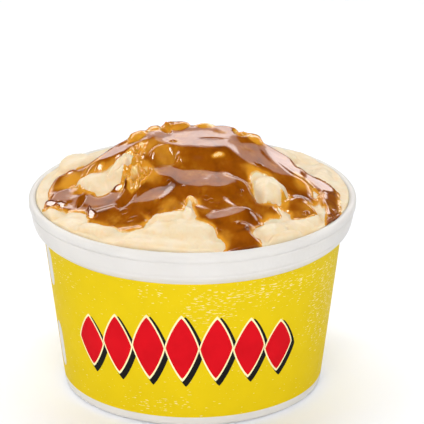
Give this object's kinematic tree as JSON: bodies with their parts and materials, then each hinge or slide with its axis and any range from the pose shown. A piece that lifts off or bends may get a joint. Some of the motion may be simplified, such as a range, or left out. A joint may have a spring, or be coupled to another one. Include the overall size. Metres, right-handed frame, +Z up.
{
  "type": "mashed potato side",
  "caption": "Round foam tub heaped with mashed potato under brown gravy, a prepared side dish that stands on its flat foot.",
  "frame": {"origin": "centre of the tub's foot, on the surface it stands on", "axes": "+Z up through the lip; the front of the helping, with the gravy that runs to the lip, faces -Y; +X to its right"},
  "size_m": [0.116, 0.116, 0.094],
  "materials": {
    "foam": "smooth white moulded foam, satin, with a yellow printed wall",
    "mash": "moist cream mashed potato, soft satin",
    "gravy": "wet glossy brown gravy, amber where thin"
  },
  "bodies": {
    "root": {"tub": "foam", "mash": "mash", "gravy": "gravy"}
  },
  "joints": []
}
